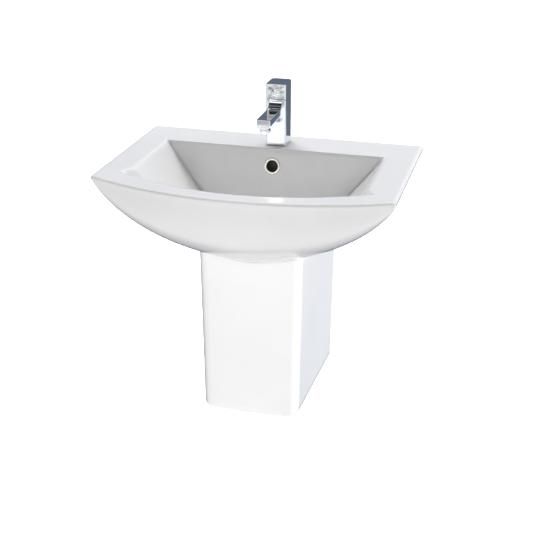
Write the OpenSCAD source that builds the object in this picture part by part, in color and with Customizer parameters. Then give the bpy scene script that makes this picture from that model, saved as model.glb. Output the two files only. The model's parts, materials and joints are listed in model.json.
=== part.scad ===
// Wall-hung washbasin with a semi-pedestal, a mono mixer tap, a click-clack waste and a bottle trap.
// The origin is midway between the two wall bolts, on the wall plane. +Z is up and -Y is to the user.

/* [Basin] */
// Overall width of the basin
basin_w = 550; // [500:5:600]
// Overall depth of the basin from the wall
basin_d = 396; // [380:1:420]
// Height of the rim band
rim_h = 8; // [6:0.5:12]
// Radius of the rim's upper edge
rim_r = 4.5; // [3:0.5:6]
// Radius of the rim's front corners in plan
corner_r = 5; // [4:0.5:10]
// How far the front edge falls back from the middle to the corners
front_bow = 64; // [40:1:80]
// How far the underside reaches below the rim
boat_h = 176.5; // [165:0.5:185]
// Height of the deck above the wall bolts
deck_z = 80; // [70:1:90]
// Distance between the wall bolts
bolt_span = 280; // [200:5:300]
// Radius of the holes for the wall bushes
bolt_hole_r = 12; // [11:0.5:14]
// Radius of the tap hole
tap_hole_r = 17.5; // [16:0.5:18]

/* [Bowl] */
// Width of the bowl opening at the deck
bowl_w = 431; // [400:1:440]
// Distance from the wall to the bowl's back edge
shelf_d = 91; // [88:1:96]
// Distance from the wall to the bowl's front edge
bowl_front = 360; // [350:1:364]
// Depth of the bowl
bowl_h = 129; // [120:1:132]
// Distance from the wall to the waste's axis
waste_d = 205; // [195:1:215]

/* [Semi-pedestal] */
// Height of the lower edge below the deck
shroud_low = 478.5; // [440:0.5:520]
// Distance from the wall to its front face
shroud_d = 277; // [265:1:285]
// Width at the wall, at the top
shroud_w = 213; // [200:1:220]
// Thickness of the ceramic wall
shroud_t = 12; // [9:1:14]
// Radius of its front corners
shroud_r = 25; // [18:1:30]
// Distance between its two wall bolts
shroud_bolt_span = 156; // [150:1:158]

/* [Tap] */
// Width of the tap body
tap_w = 40; // [40:1:44]
// Depth of the tap body
tap_d = 47; // [46:1:50]
// Distance from the wall to the tap's axis
tap_y = 50; // [49:0.5:51]
// Height of the seam between body and lever
seam_z = 91; // [91:0.5:92]
// Height of the lever's top
lever_top = 121; // [120:1:126]
// Distance from the wall to the spout's end
spout_reach = 165; // [160:1:175]
// Radius of the aerator's bore in the spout
aerator_r = 9.2; // [8.8:0.1:9.4]

/* [Waste and trap] */
// Outer radius of the waste tube
waste_r = 21; // [20:0.5:21]
// Outer radius of the trap's pipes
pipe_r = 16; // [16:0.5:16.5]
// Height of the outlet pipe's axis below the deck
outlet_low = 262; // [255:1:270]

/* [Hidden] */
$fn = 96;
half_w = basin_w / 2;
// The underside starts a little inside the rim, at the step below it
boat_half_w = half_w - 2;
boat_front = basin_d - 4;
boat_bow = 63;
// Exponents of the underside's front-to-back curve, in the middle and at the sides
boat_n_mid = 2.82;
boat_n_side = 4.77;
// Exponents of its side-to-side curve
boat_m = 1.61;
boat_p = 0.644;
bowl_side_slope = 0.85;
bowl_back_slope = 0.24;
bowl_front_slope = 0.6;
back_tilt = atan(bowl_back_slope);
waste_seat = 132;
waste_under = 163;
overflow_low = 33;
ceramic = [0.93, 0.94, 0.95];
chrome = [0.78, 0.8, 0.84];
plastic = [0.93, 0.93, 0.9];
rubber_c = [0.16, 0.16, 0.17];
sealant_c = [0.9, 0.9, 0.88];
brass_c = [0.8, 0.66, 0.36];
steel_c = [0.65, 0.66, 0.68];

// ---- helpers ----

function sq(v) = v * v;

// A tube or ring with its foot at z
module ring(outer, inner, h, z = 0) {
    translate([0, 0, z])
        difference() {
            cylinder(r = outer, h = h);
            translate([0, 0, -1])
                cylinder(r = inner, h = h + 2);
        }
}

// The tap's plan, inset by t: a rectangle with tighter corners at the front than at the back
tap_front_r = 4.5;
tap_back_r = 8.5;
module tap_plan(t) {
    w = tap_w - 2 * t;
    d = tap_d - 2 * t;
    front_r = tap_front_r - t;
    back_r = tap_back_r - t;
    translate([-w / 2, -d / 2 + front_r])
        square([w, d - front_r - back_r]);
    for (corner = [[-1, front_r], [1, back_r]]) {
        side = corner[0];
        r = corner[1];
        translate([0, side * (d / 2 - r)]) {
            square([w - 2 * r, 2 * r], center = true);
            for (sx = [-1, 1])
                translate([sx * (w / 2 - r), 0])
                    circle(r = r);
        }
    }
}

// A hexagonal nut with its foot at z
module hex_nut(flats, inner, h, z) {
    translate([0, 0, z])
        difference() {
            cylinder(r = flats / sqrt(3), h = h, $fn = 6);
            translate([0, 0, -1])
                cylinder(r = inner, h = h + 2, $fn = 96);
        }
}

// A ribbed hand nut: a cylinder with grip ribs round it
module hand_nut(outer, inner, h, z) {
    ring(outer, inner, h, z);
    for (a = [0:30:359])
        rotate(a)
            translate([outer - 0.5, 0, z + 1])
                cylinder(r = 1.6, h = h - 2);
}

module at_deck() {
    translate([0, 0, deck_z])
        children();
}

module at_tap() {
    translate([0, -tap_y, deck_z])
        children();
}

module at_waste() {
    translate([0, -waste_d, deck_z])
        children();
}

// A cylinder from the wall towards the user: centre x and z, far end y0 and near end y1
module along_y(r, y0, y1) {
    translate([0, y1, 0])
        rotate([90, 0, 0])
            cylinder(r = r, h = y1 - y0);
}

// ---- basin ----

// Height lost to the rounding of an edge of radius r, at a distance e past its start
function edge_drop(e, r) = e <= 0 ? 0 : r - sqrt(max(0, sq(r) - sq(e)));
function rim_top(x) = -edge_drop(abs(x) - (half_w - rim_r), rim_r);
function rim_front(x) = -(basin_d - front_bow * sq(x / half_w))
    + edge_drop(abs(x) - (half_w - corner_r), corner_r);
function boat_edge(x) = abs(x) >= boat_half_w ? rim_front(x) + 2.5
    : -(boat_front - boat_bow * sq(x / boat_half_w));
function boat_n(x) = boat_n_mid + (boat_n_side - boat_n_mid) * sq(x / boat_half_w);
function boat_drop(x) = abs(x) >= boat_half_w ? 0
    : boat_h * pow(1 - pow(abs(x) / boat_half_w, boat_m), boat_p);
// Height of the underside below the deck, at a place in plan
function under_z(x, y) = -rim_h
    - boat_drop(x) * pow(1 - pow(min(1, y / boat_edge(x)), boat_n(x)), 1 / boat_n(x));

// Stations across the basin, closer together towards its sides
boat_steps = 16;
half_stations = concat([for (i = [0:boat_steps - 3]) boat_half_w * sin(90 * i / boat_steps)],
    [half_w - 9, half_w - rim_r, half_w - 3.4, boat_half_w, half_w - 0.7, half_w]);
stations = concat([for (i = [len(half_stations) - 1:-1:1]) -half_stations[i]], half_stations);
edge_steps = 4;
under_steps = 12;
// One closed outline in the plane of a station: deck, front edge, rim, step and underside
function section(x) = concat(
    [[x, 0, rim_top(x)]],
    [for (i = [0:edge_steps]) let (a = 90 * i / edge_steps)
        [x, rim_front(x) + rim_r * (1 - sin(a)),
            rim_top(x) - rim_r * (1 - cos(a)) * (rim_top(x) < -3 ? 0.5 : 1)]],
    [[x, rim_front(x), -rim_h + 1], [x, rim_front(x) + 1, -rim_h]],
    [for (i = [0:under_steps]) let (a = 90 * i / under_steps)
        [x, boat_edge(x) * pow(cos(a), 2 / boat_n(x)),
            -rim_h - boat_drop(x) * pow(sin(a), 2 / boat_n(x))]]);

// A solid through equal rows of points. Its two ends are fans from the row's first point,
// or, for a row that runs out along one side and back along the other, strips between the sides.
module loft(rows, strip = false) {
    n = len(rows[0]);
    m = len(rows);
    last = (m - 1) * n;
    fan = [for (j = [1:n - 2]) [0, j, j + 1]];
    band = [for (j = [0:n / 2 - 2])
        each [[j, j + 1, n - 2 - j], [j, n - 2 - j, n - 1 - j]]];
    end = strip ? band : fan;
    polyhedron(points = [for (r = rows) each r],
        faces = concat(end,
            [for (i = [0:m - 2], j = [0:n - 1]) let (k = (j + 1) % n)
                each [[i * n + j, (i + 1) * n + j, (i + 1) * n + k],
                      [i * n + j, (i + 1) * n + k, i * n + k]]],
            [for (t = end) [last + t[2], last + t[1], last + t[0]]]));
}

// The bowl's outline at depth d below the deck, scaled by s about the waste
bowl_corner_r = 8;
bowl_front_steps = 6;
function bowl_half(d) = bowl_w / 2 - bowl_side_slope * d;
function bowl_back(d) = -shelf_d - bowl_back_slope * d;
function bowl_toe(d) = [bowl_half(d) + 13 - 0.05 * d, -(bowl_front - 62) + 0.25 * d];
function bowl_nose(d) = -bowl_front + bowl_front_slope * d;
function right_side(d) = concat(
    [for (a = [0:30:90])
        [bowl_half(d) - bowl_corner_r * (1 - sin(a)), bowl_back(d) - bowl_corner_r * (1 - cos(a))]],
    [[bowl_half(d), bowl_toe(d)[1] + 22], [bowl_half(d) + 3, bowl_toe(d)[1] + 9]]);
function right_front(d) = [for (i = [0:bowl_front_steps - 1])
    let (x = bowl_toe(d)[0] * (1 - i / bowl_front_steps))
    [x, bowl_nose(d) + (bowl_toe(d)[1] - bowl_nose(d)) * sq(x / bowl_toe(d)[0])]];
function flip(pts) = [for (i = [len(pts) - 1:-1:0]) [-pts[i][0], pts[i][1]]];
// It starts in the middle of the front, from where every other point is in view
function bowl_ring(z, d, s) = let (right = concat(right_side(d), right_front(d)))
    [for (p = concat([[0, bowl_nose(d)]], flip(right), right))
        [p[0] * s, -waste_d + (p[1] + waste_d) * s, z]];
wall_foot = bowl_h - 15;
bowl_rows = [bowl_ring(1, -1, 1), bowl_ring(-wall_foot, wall_foot, 1),
    bowl_ring(-wall_foot - 5, wall_foot + 3, 0.98), bowl_ring(-wall_foot - 9, wall_foot + 4, 0.93),
    bowl_ring(-wall_foot - 12, wall_foot + 5, 0.82), bowl_ring(-bowl_h, wall_foot + 5, 0.36)];

// The space under the deck for the tap's fixings and the wall bolts, open below
cavity_top = -26;
back_wall = 18;
module rear_cavity() {
    for (sx = [-1, 1])
        translate([sx * 115 - 83, -84, -220])
            cube([166, 84 - back_wall, 220 + cavity_top]);
    translate([-33, -74, -220])
        cube([66, 74 - back_wall, 220 + cavity_top]);
}

// The overflow: a hole square to the bowl's back wall, a duct down behind it and one to the waste
duct_y = -87;
duct_low = 147;
duct_foot_y = duct_y - bowl_back_slope * (duct_low - overflow_low);
overflow_hole_r = 12.5;
module overflow_ducts() {
    translate([0, bowl_back(overflow_low), -overflow_low])
        rotate([90 - back_tilt, 0, 0])
            translate([0, 0, -14])
                cylinder(r = overflow_hole_r, h = 34);
    translate([0, duct_y, -overflow_low])
        rotate([-back_tilt, 0, 0])
            translate([0, 0, -(duct_low - overflow_low) / cos(back_tilt) - 4])
                cylinder(r = 7, h = (duct_low - overflow_low) / cos(back_tilt) + 8);
    translate([0, 0, -duct_low])
        along_y(6, -waste_d, duct_foot_y + 4);
}

module basin() {
    color(ceramic)
        at_deck()
            difference() {
                // The shell is one mesh at its own size; the round holes are cut from it afterwards
                resize([0, 0, 0])
                    difference() {
                        loft([for (x = stations) section(x)]);
                        loft(bowl_rows);
                        rear_cavity();
                    }
                overflow_ducts();
                translate([0, -tap_y, -60])
                    cylinder(r = tap_hole_r, h = 80);
                translate([0, -waste_d, -waste_seat])
                    cylinder(r = 33.5, h = 20);
                translate([0, -waste_d, -220])
                    cylinder(r = 23, h = 100);
                translate([0, -waste_d, -220])
                    cylinder(r = 36, h = 220 - waste_under);
                for (sx = [-1, 1])
                    translate([sx * bolt_span / 2, 0, -deck_z])
                        along_y(bolt_hole_r, -back_wall - 4, 5);
            }
}

// ---- semi-pedestal ----

// Plan outline of the shroud, inset by t: from the wall round the front and back to the wall
shroud_taper = 4;
shroud_lean = 8;
shroud_crown = 4;
shroud_arc = 6;
function shroud_half(low, y) = shroud_w / 2 - shroud_taper * low - shroud_lean * (y / -shroud_d);
function shroud_right(low, t) = let (w = shroud_half(low, -shroud_d) - t, r = shroud_r - t,
        side = shroud_d - shroud_crown - t) concat(
    [for (share = [0, 0.36, 0.56, 0.7, 0.8]) [shroud_half(low, -shroud_d * share) - t, -shroud_d * share]],
    [for (i = [0:shroud_arc]) let (a = 90 * i / shroud_arc)
        [w - r * (1 - cos(a)), -(side - r) - r * sin(a)]],
    [for (i = [1:3]) let (x = (w - r) * (1 - i / 3)) [x, -(side + shroud_crown * (1 - sq(x / (w - r))))]]);
function whole(pts) = concat(pts, [for (i = [len(pts) - 2:-1:0]) [-pts[i][0], pts[i][1]]]);
function reversed(pts) = [for (i = [len(pts) - 1:-1:0]) pts[i]];
function shroud_outline(low) =
    concat(whole(shroud_right(low, 0)), reversed(whole(shroud_right(low, shroud_t))));
seal_gap = 3;

module semi_pedestal() {
    lug_z = -340;
    color(ceramic)
        at_deck()
            difference() {
                union() {
                    loft([[for (p = shroud_outline(0)) [p[0], p[1], under_z(p[0], p[1]) - seal_gap]],
                        [for (p = shroud_outline(1)) [p[0], p[1], -shroud_low]]], strip = true);
                    for (sx = [-1, 1])
                        translate([sx * 81 - 15, -34, lug_z])
                            cube([30, 20, 36]);
                }
                for (sx = [-1, 1])
                    translate([sx * shroud_bolt_span / 2, 0, lug_z + 18])
                        along_y(6, -40, 5);
            }
}

// A soft strip between the shroud's upper edge and the basin
seal_clear = 0.8;
module pedestal_seal() {
    color(sealant_c)
        at_deck()
            loft([[for (p = shroud_outline(0)) [p[0], p[1], under_z(p[0], p[1]) - seal_clear]],
                [for (p = shroud_outline(0)) [p[0], p[1], under_z(p[0], p[1]) - seal_gap]]], strip = true);
}

// A flanged sleeve in a bolt hole; the flange is on the user's side of a wall of thickness t
module bush(outer, bore, flange, t, front) {
    difference() {
        union() {
            along_y(outer, front, front + t);
            along_y(flange, front - 3, front);
        }
        along_y(bore, front - 10, front + t + 5);
    }
}

wall_bolt_r = 5.25;
module wall_bushes() {
    color(plastic)
        for (sx = [-1, 1])
            translate([sx * bolt_span / 2, 0, 0])
                bush(bolt_hole_r - 0.2, wall_bolt_r, 17, back_wall, -back_wall);
}

shroud_bolt_r = 4.25;
module pedestal_bushes() {
    color(plastic)
        for (sx = [-1, 1])
            translate([sx * shroud_bolt_span / 2, 0, deck_z - 322])
                bush(5.8, shroud_bolt_r, 9, 20, -34);
}

module overflow_ring() {
    color(chrome)
        at_deck()
            translate([0, bowl_back(overflow_low), -overflow_low])
                rotate([90 - back_tilt, 0, 0]) {
                    ring(15.5, 11, 2.4, 0);
                    ring(12.3, 11, 6, -6);
                }
}

// ---- tap ----

body_foot = 0.8;
cartridge_bore_r = 17.2;
cartridge_floor = 52;
spout_w = 26.5;
spout_top = 76;
spout_low = 57;
aerator_y = -(spout_reach - tap_y - 13);
aerator_inner = 7.7;
aerator_drop = 7.4;
inlet_x = 8;
inlet_y = -4;
stud_y = 11;

// The spout's section: flat on top with well rounded lower corners
module spout_section() {
    r = 8;
    intersection() {
        translate([-spout_w / 2, spout_low])
            square([spout_w, spout_top - spout_low]);
        union() {
            translate([-spout_w / 2, spout_low + r])
                square([spout_w, spout_top]);
            for (sx = [-1, 1])
                translate([sx * (spout_w / 2 - r), spout_low + r])
                    circle(r = r);
            translate([-spout_w / 2 + r, spout_low])
                square([spout_w - 2 * r, r]);
        }
    }
}

module spout() {
    front = -tap_d / 2;
    translate([0, -2, 0])
        rotate([90, 0, 0])
            linear_extrude(spout_reach - tap_y - 2)
                spout_section();
    // Concave rise from the spout's top to the body's front
    difference() {
        translate([-spout_w / 2, front - 20, spout_top - 5])
            cube([spout_w, 22, seam_z - spout_top + 4]);
        translate([0, front - 20, spout_top + 20])
            rotate([0, 90, 0])
                cylinder(r = 20, h = 60, center = true);
    }
    // Thickened root under the spout
    difference() {
        translate([-spout_w / 2, front - 24, spout_low - 18])
            cube([spout_w, 26, 26]);
        translate([0, front - 24, spout_low - 24])
            rotate([0, 90, 0])
                cylinder(r = 24, h = 60, center = true);
    }
}

module tap_body() {
    color(chrome)
        at_tap()
            difference() {
                union() {
                    translate([0, 0, body_foot])
                        linear_extrude(seam_z - body_foot)
                            tap_plan(0);
                    spout();
                }
                translate([0, 0, cartridge_floor])
                    cylinder(r = cartridge_bore_r, h = 60);
                for (sx = [-1, 1])
                    translate([sx * inlet_x, inlet_y, -1])
                        cylinder(r = 4.5, h = cartridge_floor + 5);
                translate([0, stud_y, -1])
                    cylinder(r = 4, h = 17);
                translate([0, 0, 66])
                    along_y(4, aerator_y, -cartridge_bore_r + 2);
                translate([0, aerator_y, spout_low - 5])
                    cylinder(r = aerator_r, h = 17);
            }
}

module aerator_housing() {
    color(chrome)
        at_tap()
            translate([0, aerator_y, 0]) {
                ring(aerator_r - 0.1, aerator_inner, 12, spout_low - 0.5);
                ring(aerator_r + 1.3, aerator_inner, aerator_drop - 0.3, spout_low - aerator_drop);
            }
}

module aerator_insert() {
    color(plastic)
        at_tap()
            translate([0, aerator_y, spout_low - aerator_drop + 1])
                difference() {
                    cylinder(r = aerator_inner - 0.1, h = 14);
                    for (i = [0:1], a = [0:60 / (i + 1):359])
                        rotate(a)
                            translate([2.6 * (i + 1), 0, -1])
                                cylinder(r = 0.8, h = 16);
                }
}

module base_gasket() {
    color(rubber_c)
        at_tap()
            difference() {
                linear_extrude(body_foot)
                    tap_plan(2);
                translate([0, 0, -1])
                    cylinder(r = 16.5, h = 5);
            }
}

module fixing_stud() {
    color(steel_c)
        at_tap()
            translate([0, stud_y, -66])
                cylinder(r = 3.95, h = 81);
}

// A horseshoe under the deck, open to the front for the supply tails
module horseshoe(outer, h, z) {
    translate([0, 0, z])
        difference() {
            cylinder(r = outer, h = h);
            translate([-13.5, -40, -1])
                cube([27, 42, h + 2]);
            translate([0, stud_y, -1])
                cylinder(r = 4.3, h = h + 2);
        }
}

module fixing_washer() {
    color(rubber_c)
        at_tap()
            horseshoe(21.5, 3, cavity_top - 3);
}

module fixing_plate() {
    color(steel_c)
        at_tap()
            horseshoe(21.5, 2, cavity_top - 5);
}

module fixing_nut() {
    color(brass_c)
        at_tap()
            translate([0, stud_y, 0])
                hex_nut(13, 4.0, 8, cavity_top - 13);
}

// ---- cartridge, turret and lever ----

seat_top = cartridge_floor + 4.5;
disc_face = seat_top + 4;
spindle_pivot = 76;
module cartridge_seal() {
    color(rubber_c)
        at_tap()
            ring(16.5, 13.6, 1.5, cartridge_floor);
}

// Three ports through a disc or a base
module ports(r, z, h) {
    for (p = [[-inlet_x, inlet_y], [inlet_x, inlet_y], [0, 8]])
        translate([p[0], p[1], z])
            cylinder(r = r, h = h);
}

module cartridge_body() {
    color(plastic)
        at_tap()
            difference() {
                translate([0, 0, cartridge_floor + 1.5])
                    cylinder(r = 17, h = 26.5);
                translate([0, 0, seat_top])
                    cylinder(r = 14.6, h = 30);
                ports(3, cartridge_floor, 10);
            }
}

module fixed_disc() {
    color("white")
        at_tap()
            difference() {
                translate([0, 0, seat_top])
                    cylinder(r = 14.2, h = 4);
                ports(2.6, cartridge_floor, 20);
            }
}

module moving_disc() {
    color("white")
        at_tap()
            difference() {
                translate([0, 0, disc_face + 0.1])
                    cylinder(r = 10.5, h = 3);
                translate([0, 0, disc_face + 0.6])
                    cylinder(r = 3, h = 5);
            }
}

pin_y = 15.5;
pin_z = 97;
module turret() {
    color(brass_c)
        at_tap()
            difference() {
                union() {
                    translate([0, 0, disc_face + 3.5])
                        cylinder(r = 14.3, h = 15);
                    translate([0, 0, disc_face + 3.5])
                        cylinder(r = 11, h = 32);
                    translate([-9, 0, seam_z + 1.5])
                        cube([18, pin_y, 8]);
                    translate([-9, pin_y, pin_z])
                        rotate([0, 90, 0])
                            cylinder(r = 4, h = 18);
                }
                translate([-4.2, -7.5, 50])
                    cube([8.4, 15, 60]);
                translate([-20, 0, spindle_pivot])
                    rotate([0, 90, 0])
                        cylinder(r = 1.5, h = 40);
                translate([-20, pin_y, pin_z])
                    rotate([0, 90, 0])
                        cylinder(r = 1.55, h = 40);
            }
}

module spindle_pin() {
    color(steel_c)
        at_tap()
            translate([-10, 0, spindle_pivot])
                rotate([0, 90, 0])
                    cylinder(r = 1.49, h = 20);
}

module spindle() {
    color(steel_c)
        at_tap()
            difference() {
                union() {
                    translate([0, 0, disc_face + 0.9])
                        cylinder(r = 2.5, h = 12);
                    translate([0, 0, spindle_pivot - 5])
                        cylinder(r = 3.5, h = 114 - spindle_pivot + 5);
                }
                translate([-10, 0, spindle_pivot])
                    rotate([0, 90, 0])
                        cylinder(r = 1.55, h = 20);
            }
}

module cartridge_nut() {
    color(brass_c)
        at_tap()
            difference() {
                translate([0, 0, 80.4])
                    cylinder(r = 17, h = 8);
                cylinder(r = 11.4, h = 100);
                for (a = [45:90:359])
                    rotate(a)
                        translate([14, -2, 86])
                            cube([6, 4, 5]);
            }
}

lever_foot = seam_z + 0.5;
lever_wall = 2.5;
lever_roof = 5;
relief_angle = 22;
module lever() {
    inner_w = tap_w - 2 * lever_wall;
    inner_d = tap_d - 2 * lever_wall;
    color(chrome)
        at_tap()
            difference() {
                union() {
                    difference() {
                        translate([0, 0, lever_foot])
                            linear_extrude(lever_top - lever_foot)
                                tap_plan(0);
                        translate([0, 0, lever_foot - 1])
                            linear_extrude(lever_top - lever_roof - lever_foot + 1)
                                tap_plan(lever_wall);
                    }
                    // Ribs that push the spindle
                    for (sy = [-1, 1])
                        translate([-inner_w / 2 - 0.5, sy * 6.2 - 1.5, 103])
                            cube([inner_w + 1, 3, 3]);
                    // Bosses that hold the hinge pin
                    for (sx = [-1, 1])
                        translate([sx * 14 - 4, pin_y - 4, pin_z - 3.5])
                            cube([8, inner_d / 2 - pin_y + 4.5, 7]);
                }
                translate([-tap_w / 2 + 1, pin_y, pin_z])
                    rotate([0, 90, 0])
                        cylinder(r = 1.5, h = tap_w - 2);
                translate([14, pin_y, pin_z])
                    rotate([-90, 0, 0])
                        cylinder(r = 2, h = 20);
                // Relief behind the pin, so that the lever clears the body as it lifts
                translate([-tap_w, pin_y - 1.5, lever_foot - 0.3])
                    rotate([relief_angle, 0, 0])
                        translate([0, 0, -10])
                            cube([2 * tap_w, 20, 10]);
            }
}

module lever_pin() {
    color(steel_c)
        at_tap()
            translate([-tap_w / 2 + 1.5, pin_y, pin_z])
                rotate([0, 90, 0])
                    cylinder(r = 1.49, h = tap_w - 3);
}

module grub_screw() {
    color(steel_c)
        at_tap()
            translate([14, pin_y + 1.6, pin_z])
                rotate([-90, 0, 0])
                    difference() {
                        cylinder(r = 1.95, h = 5);
                        translate([0, 0, 3])
                            cylinder(r = 1.1, h = 3, $fn = 6);
                    }
}

// ---- waste ----

flange_foot = -waste_seat + 1.5;
tube_foot = -212;
module waste_body() {
    color(chrome)
        at_waste()
            difference() {
                union() {
                    translate([0, 0, flange_foot])
                        cylinder(r = 32, h = 3);
                    translate([0, 0, tube_foot])
                        cylinder(r = waste_r, h = flange_foot - tube_foot + 1);
                }
                translate([0, 0, tube_foot - 1])
                    cylinder(r = 17.5, h = 120);
                translate([0, 0, -duct_low])
                    along_y(6, -30, 30);
            }
}

module flange_seal() {
    color(rubber_c)
        at_waste()
            ring(31, 23, 1.5, -waste_seat);
}

module bottom_seal() {
    color(rubber_c)
        at_waste()
            ring(33, waste_r + 0.2, 4, -waste_under - 4);
}

module waste_nut() {
    color(brass_c)
        at_waste()
            hex_nut(56, waste_r + 0.1, 9, -waste_under - 13);
}

module click_sleeve() {
    color(brass_c)
        at_waste() {
            ring(17.3, 15.3, 10, -170);
            ring(7.5, 4.3, 10, -170);
            for (a = [0:120:359])
                rotate(a)
                    translate([6.5, -1.5, -170])
                        cube([9.5, 3, 6]);
        }
}

plug_lift = 8;
cap_foot = flange_foot + 3 + plug_lift;
module plug_stem() {
    color(steel_c)
        at_waste() {
            translate([0, 0, -180])
                cylinder(r = 4, h = cap_foot + 180);
            translate([0, 0, cap_foot - 8])
                cylinder(r = 8, h = 3);
        }
}

// The return spring, between the sleeve and the stem's collar, as a plain tube
module plug_spring() {
    color(steel_c)
        at_waste()
            ring(6.8, 5.2, cap_foot - 8.3 + 159.7, -159.7);
}

module plug_cap() {
    color(chrome)
        at_waste()
            translate([0, 0, cap_foot])
                intersection() {
                    cylinder(r = 30, h = 8);
                    translate([0, 0, -84])
                        sphere(r = 90, $fn = 128);
                }
}

module plug_seal() {
    color(rubber_c)
        at_waste()
            ring(22, 17, 1.8, cap_foot - 1.8);
}

// ---- trap ----

neck_top = -215;
trap_top = -232;
trap_low = -292;
module trap_inlet_nut() {
    color(plastic)
        at_waste() {
            hand_nut(27, waste_r + 0.15, 14, neck_top + 1);
            ring(27, pipe_r + 0.4, 3, neck_top - 3.2);
            ring(27, waste_r + 0.15, 1.3, neck_top - 0.25);
        }
}

module trap_inlet_seal() {
    color(rubber_c)
        at_waste()
            ring(20.8, pipe_r - 1, 1.2, neck_top + 1.7);
}

module dip_tube() {
    color(plastic)
        at_waste() {
            ring(pipe_r, pipe_r - 1.5, 106, -321);
            ring(20.5, pipe_r - 1.5, 1.8, neck_top - 0.15);
        }
}

module trap_neck_nut() {
    color(plastic)
        at_waste() {
            hand_nut(26, 20.4, 11, trap_top);
            ring(26, pipe_r + 0.3, 2, trap_top + 11);
        }
}

module trap_body() {
    color(plastic)
        translate([0, -waste_d, deck_z])
            difference() {
                union() {
                    translate([0, 0, trap_low])
                        cylinder(r = 30, h = trap_top - trap_low - 2);
                    translate([0, 0, trap_top - 3])
                        cylinder(r = 20.2, h = 10);
                    translate([0, 0, -outlet_low])
                        along_y(20, 0, 46);
                }
                translate([0, 0, trap_low - 1])
                    cylinder(r = 27, h = trap_top - trap_low - 5);
                translate([0, 0, trap_top - 20])
                    cylinder(r = pipe_r + 0.2, h = 40);
                translate([0, 0, -outlet_low])
                    along_y(pipe_r + 0.2, 0, 60);
            }
}

module trap_cup_seal() {
    color(rubber_c)
        at_waste()
            ring(30, 25, 2, trap_low - 2);
}

module trap_cup() {
    color(plastic)
        at_waste()
            difference() {
                union() {
                    translate([0, 0, trap_low - 46])
                        cylinder(r = 27, h = 44);
                    translate([0, 0, trap_low - 12])
                        cylinder(r = 31, h = 10);
                    for (a = [0:20:359])
                        rotate(a)
                            translate([30.5, 0, trap_low - 11.5])
                                cylinder(r = 1.6, h = 9);
                }
                translate([0, 0, trap_low - 43])
                    cylinder(r = 24, h = 60);
            }
}

module trap_outlet_nut() {
    color(plastic)
        translate([0, -waste_d + 36, deck_z - outlet_low])
            rotate([-90, 0, 0]) {
                hand_nut(26, 20.2, 10, 0);
                ring(26, pipe_r + 0.2, 3, 10);
            }
}

module outlet_pipe() {
    color(plastic)
        translate([0, -waste_d, deck_z - outlet_low])
            rotate([-90, 0, 0])
                ring(pipe_r, pipe_r - 1.5, waste_d - 32, 32);
}

module wall_rosette() {
    color(chrome)
        translate([0, 0, deck_z - outlet_low])
            rotate([90, 0, 0])
                difference() {
                    union() {
                        cylinder(r = 33, h = 2.5);
                        cylinder(r = 22, h = 8);
                    }
                    translate([0, 0, -1])
                        cylinder(r = pipe_r + 0.2, h = 12);
                }
}

basin();
semi_pedestal();
pedestal_seal();
wall_bushes();
pedestal_bushes();
overflow_ring();
tap_body();
aerator_housing();
aerator_insert();
base_gasket();
fixing_stud();
fixing_washer();
fixing_plate();
fixing_nut();
cartridge_seal();
cartridge_body();
fixed_disc();
moving_disc();
turret();
spindle();
spindle_pin();
cartridge_nut();
lever();
lever_pin();
grub_screw();
waste_body();
flange_seal();
bottom_seal();
waste_nut();
click_sleeve();
plug_spring();
plug_stem();
plug_cap();
plug_seal();
trap_inlet_nut();
trap_inlet_seal();
dip_tube();
trap_neck_nut();
trap_body();
trap_cup_seal();
trap_cup();
trap_outlet_nut();
outlet_pipe();
wall_rosette();
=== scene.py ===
# Wall-hung washbasin with semi-pedestal and mixer tap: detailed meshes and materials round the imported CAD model.
import json
import math

import bmesh
import bpy
import numpy as np
from mathutils import Matrix, Vector


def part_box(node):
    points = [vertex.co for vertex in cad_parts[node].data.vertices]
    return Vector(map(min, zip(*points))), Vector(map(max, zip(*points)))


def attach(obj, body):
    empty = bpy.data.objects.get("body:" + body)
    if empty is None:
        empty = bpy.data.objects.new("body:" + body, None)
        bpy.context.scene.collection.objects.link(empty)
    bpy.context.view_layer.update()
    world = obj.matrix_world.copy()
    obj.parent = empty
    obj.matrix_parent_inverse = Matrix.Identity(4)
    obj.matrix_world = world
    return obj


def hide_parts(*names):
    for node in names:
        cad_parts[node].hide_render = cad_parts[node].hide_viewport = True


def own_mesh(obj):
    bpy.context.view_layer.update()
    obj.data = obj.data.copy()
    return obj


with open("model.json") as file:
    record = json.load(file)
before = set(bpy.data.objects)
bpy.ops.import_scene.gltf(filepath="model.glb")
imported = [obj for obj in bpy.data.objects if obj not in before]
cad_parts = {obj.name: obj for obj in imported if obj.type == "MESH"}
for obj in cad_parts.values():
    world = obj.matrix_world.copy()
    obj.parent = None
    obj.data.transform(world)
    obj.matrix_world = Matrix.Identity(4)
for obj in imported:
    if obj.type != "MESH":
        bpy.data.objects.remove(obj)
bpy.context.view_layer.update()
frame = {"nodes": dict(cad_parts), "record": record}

MM = 0.001
nodes = frame["nodes"]
basin_low, basin_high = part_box("basin")
DECK = basin_high.z
HALF_W = basin_high.x / MM
BASIN_D = -basin_low.y / MM


# ---------------------------------------------------------------- camera

def make_camera():
    data = bpy.data.cameras.new("camera")
    data.sensor_width = 36
    data.lens = 73.48
    cam = bpy.data.objects.new("camera", data)
    cam.location = (0.5112, -2.0257, DECK + 0.6219)
    cam.rotation_euler = (math.radians(90 - 23.461), 0, math.radians(15.178))
    bpy.context.scene.collection.objects.link(cam)
    bpy.context.scene.camera = cam


# ---------------------------------------------------------------- mesh helpers

def smoothstep(t):
    t = np.clip(t, 0, 1)
    return t * t * (3 - 2 * t)


def soft_min(a, b, width):
    """The lesser of a and b, rounded where they differ by less than width."""
    h = np.maximum(width - np.abs(a - b), 0) / width
    return np.minimum(a, b) - h ** 3 * width / 6


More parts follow.
